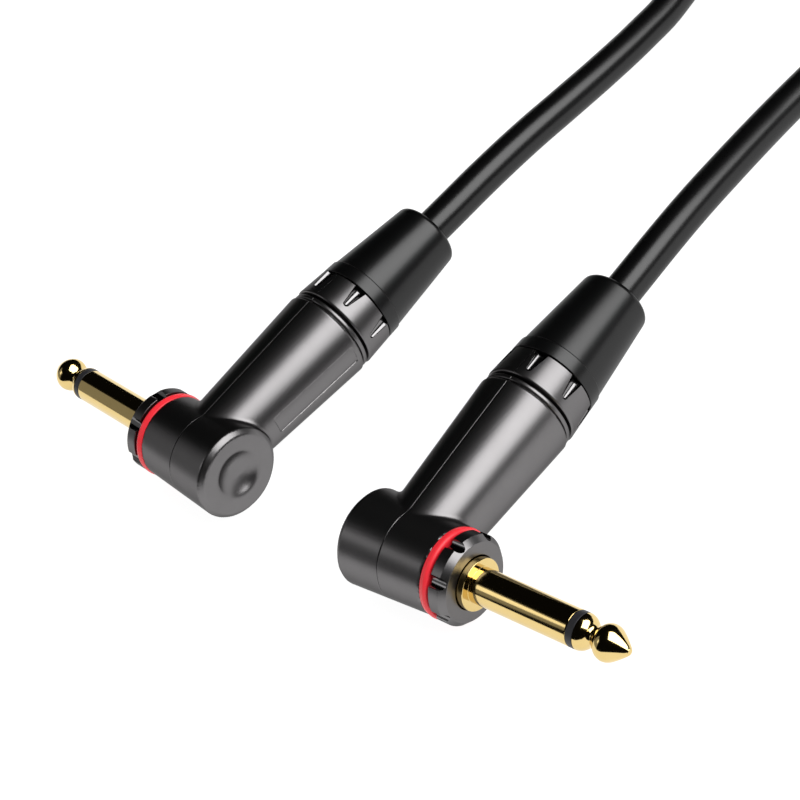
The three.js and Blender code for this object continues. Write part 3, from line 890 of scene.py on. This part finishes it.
def housing_mesh():
    """Both shells as one surface, with a margin of one grid step round it while it is meshed."""
    panel_ends = [(PANEL[end], *FINE_PANEL_END) for end in ("start", "end")]
    panel_sides = [(side * PANEL["half_width"], *FINE_PANEL_SIDE) for side in (-1, 1)]
    rim = BARREL["rim"] + GRID_STEP
    xs = spaced(CROSS["rear"] - GRID_STEP, rim, GRID_STEP, [FINE_SEAM])
    first, last = -CROSS["rear_radius"] - GRID_STEP, SPIGOT["end"] + GRID_STEP
    ys = spaced(first, last, GRID_STEP, [*panel_ends, FINE_GROOVE])
    zs = spaced(-rim, rim, GRID_STEP, panel_sides)
    vertices, faces = skin(housing_field, xs, ys, zs)
    return mesh_of(vertices.tolist(), faces)


CROSS_OUTLINE = cross_outline()
BARREL_OUTLINE = barrel_outline()


# ---------------------------------------------------------------- the plug's other visible pieces


def tip_contact():
    inwards, forwards = TIP["edge"]
    rod = [
        (0, RIVET["start"], 0),
        (RIVET["radius"], RIVET["start"], RIVET["edge"]),
        (RIVET["radius"], RIVET["end"], RIVET["edge"]),
        (TIP["rod"], RIVET["end"], 0),
        (TIP["rod"], TIP["start"], 0),
    ]
    edge = [(FINGER_RADIUS - inwards, TIP["start"]), (FINGER_RADIUS, TIP["start"] + forwards)]
    nose_radius, nose_start = TIP_CURVE[-1]
    nose_length = TIP["end"] - nose_start
    slopes = [math.radians(angle) for angle in range(15, 90, 15)]
    nose = [(nose_radius * math.cos(a), nose_start + nose_length * math.sin(a)) for a in slopes]
    return revolve(soften(rod) + edge + curve_through(TIP_CURVE)[1:] + nose + [(0, TIP["end"])], "X")


def tip_insulator():
    outline = [
        (INSULATOR["radius"], INSULATOR["start"], INSULATOR["edge"]),
        (INSULATOR["radius"], INSULATOR["end"], INSULATOR["edge"]),
        (INSULATOR["bore"], INSULATOR["end"], 0),
        (INSULATOR["bore"], INSULATOR["start"], 0),
    ]
    return revolve(soften(outline, 3), "X")


def sleeve():
    outline = [
        (SLEEVE["shank"], SLEEVE["start"], SLEEVE["shank_edge"]),
        (SLEEVE["shank"], FLANGE["start"], SLEEVE["shank_edge"]),
        (FLANGE["radius"], FLANGE["start"], FLANGE["rear_edge"]),
        (FLANGE["radius"], FLANGE["end"], FLANGE["front_edge"]),
        (FINGER_RADIUS, FLANGE["end"], FLANGE["root"]),
        (FINGER_RADIUS, SLEEVE["end"], SLEEVE["tip_edge"]),
        (SLEEVE["bore"], SLEEVE["end"], 0),
        (SLEEVE["bore"], SLEEVE["start"], 0),
    ]
    return revolve(soften(outline), "X")


def colour_ring():
    outline = [
        (COLOUR_RING["rear_radius"], COLOUR_RING["start"], COLOUR_RING["rear_edge"]),
        (COLOUR_RING["front_radius"], COLOUR_RING["end"], COLOUR_RING["front_edge"]),
        (COLOUR_RING["bore"], COLOUR_RING["end"], COLOUR_RING["bore_edge"]),
        (COLOUR_RING["bore"], COLOUR_RING["start"], COLOUR_RING["bore_edge"]),
    ]
    return revolve(soften(outline, 6), "X")


def nut_slots():
    """Cutters of the round-bottomed spanner slots, which run the nut's whole length."""
    radius, axis = NUT_SLOTS["radius"], NUT_SLOTS["axis"]
    behind = NUT["start"] - 1
    vertices, faces = round_cutter([(radius - NUT_SLOTS["end"], axis, radius), (-behind, axis, radius)])
    vertices = [(x, -y, z) for x, y, z in vertices]
    cutters = []
    for number in range(NUT_SLOTS["count"]):
        turn = -NUT_SLOTS["phase"] - 360 / NUT_SLOTS["count"] * number
        cutters.append((turned(turned(vertices, "Z", -90), "X", turn), faces))
    return cutters


def front_nut(piece_name):
    outline = [
        (NUT["radius"], NUT["start"], NUT["rear_edge"]),
        (NUT["radius"], NUT["chamfer"], NUT["edge"]),
        (NUT["face"], NUT["end"], NUT["edge"]),
        (NUT["lip"], NUT["end"], NUT["edge"]),
        (NUT["lip"], NUT["shelf"], 0),
        (NUT["bore"], NUT["shelf"], 0),
        (NUT["bore"], NUT["start"], 0),
    ]
    piece = new_object(piece_name, face_out(revolve(soften(outline, 3), "X")))
    carve(piece, nut_slots())
    return piece


def collar_radius(along):
    share = (along - COLLAR["start"]) / (COLLAR["end"] - COLLAR["start"])
    return COLLAR["start_radius"] + share * (COLLAR["end_radius"] - COLLAR["start_radius"])


def collar_notches():
    """Cutters of the tapered, round-bottomed spanner notches, widest at the boot's end."""
    beyond = COLLAR["end"] + 1
    taper = (NOTCHES["wide"] - NOTCHES["narrow"]) / (COLLAR["end"] - NOTCHES["start"])
    lift = math.sqrt(NOTCHES["roundness"] ** 2 - 1)
    stations = []
    for along in (NOTCHES["start"] + NOTCHES["narrow"], beyond):
        half_width = NOTCHES["narrow"] + taper * (along - NOTCHES["start"])
        radius = NOTCHES["roundness"] * half_width
        stations.append((along, collar_radius(along) + lift * half_width, radius))
    vertices, faces = round_cutter(stations)
    cutters = []
    for number in range(NOTCHES["count"]):
        turn = NOTCHES["phase"] + 360 / NOTCHES["count"] * number
        cutters.append((turned(vertices, "Y", turn), faces))
    return cutters


def collar_seams():
    """Cutters of the fine mould line along the collar, on its top and underside."""
    half, depth = COLLAR_LINE["half_width"], COLLAR_LINE["depth"]
    cutters = []
    for turn in (0, 180):
        ends = []
        for along in (COLLAR["start"] - 1, COLLAR["end"] + 1):
            surface = collar_radius(along)
            top = surface + COLLAR_LINE["above"]
            ends.append([(-half, along, top), (half, along, top), (0, along, surface - depth)])
        vertices, faces = loft(ends)
        cutters.append((turned(vertices, "Y", turn), faces))
    return cutters


def collar(piece_name):
    outline = [
        (COLLAR["start_radius"], COLLAR["start"], COLLAR["edge"]),
        (COLLAR["end_radius"], COLLAR["end"], 0),
        (COLLAR["lip_radius"], COLLAR["end"], 0),
        (COLLAR["lip_radius"], COLLAR["lip"], 0),
        (COLLAR["bore"], COLLAR["lip"], 0),
        (COLLAR["bore"], COLLAR["start"], 0),
    ]
    piece = new_object(piece_name, face_out(revolve(soften(outline, 5))))
    carve(piece, collar_notches() + collar_seams())
    return piece


def boot():
    flange_start, flange_end, flange_radius = BOOT["flange"]
    small = BOOT["small_edge"]
    outline = [
        (flange_radius, flange_start, small),
        (flange_radius, flange_end, small),
        (BOOT["neck"], flange_end, small),
        (BOOT["neck"], BOOT["start"], small),
        (BOOT["radius"], BOOT["start"], BOOT["start_edge"]),
        (BOOT["radius"] - BOOT["step_edge"], BOOT["step"] - BOOT["start_edge"], BOOT["step_edge"]),
        (BOOT["step_radius"], BOOT["step"], BOOT["step_edge"]),
        (BOOT["end_radius"], BOOT["end"], BOOT["edge"]),
        (BOOT["bore"], BOOT["end"], BOOT["mouth_edge"]),
        (BOOT["bore"], flange_start, 0),
    ]
    return revolve(soften(outline, 6))


def place(piece, letter, body, slot, *nodes):
    """Puts a piece drawn in the plug's frame where it belongs and hides the CAD nodes that it stands for.
    """
    piece.matrix_world = plug_matrix(letter)
    if not piece.data.materials:
        piece.data.materials.append(MATERIALS[slot])
    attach(piece, f"{body}_{letter}" if body != "root" else "root")
    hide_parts(*(f"{node}_{letter}" for node in nodes))


def plug(letter, meshes):
    fixed = (("front_shell", "black_nickel"), ("rear_shell", "black_nickel"), ("tip_contact", "gold"),
             ("sleeve", "gold"), ("tip_insulator", "insulator"))
    for name, slot in fixed:
        place(new_object(f"{name}_look_{letter}", meshes[name]), letter, "root", slot, name)
    for name, slot in (("boot", "boot_rubber"), ("colour_ring", "red_ring"), ("front_nut", "black_nickel"),
                       ("collar", "black_nickel")):
        place(new_object(f"{name}_look_{letter}", meshes[name]), letter, name, slot, name)


def mesh_from(maker):
    """The mesh of a piece that is made as an object."""
    piece = maker("draft")
    mesh = piece.data
    bpy.data.objects.remove(piece)
    return mesh


def finish_inner_pieces():
    """The CAD nodes that stay, all inside the plugs, get the material of their slot."""
    for entry in frame["record"]["subparts"]:
        node = frame["nodes"][entry["node"]]
        node.data.materials.clear()
        node.data.materials.append(MATERIALS[entry["material_slot"]])


place_camera()
lights()
room()
white_floor()
finish_inner_pieces()
cable_piece = cable()
tie_piece = tie()

housing = housing_mesh()
MESHES = {
    "front_shell": half_of(housing, 1),
    "rear_shell": half_of(housing, -1),
    "tip_contact": face_out(tip_contact()),
    "tip_insulator": face_out(tip_insulator()),
    "sleeve": face_out(sleeve()),
    "colour_ring": face_out(colour_ring()),
    "front_nut": mesh_from(front_nut),
    "collar": mesh_from(collar),
    "boot": face_out(boot()),
}
for plug_letter in "ab":
    plug(plug_letter, MESHES)
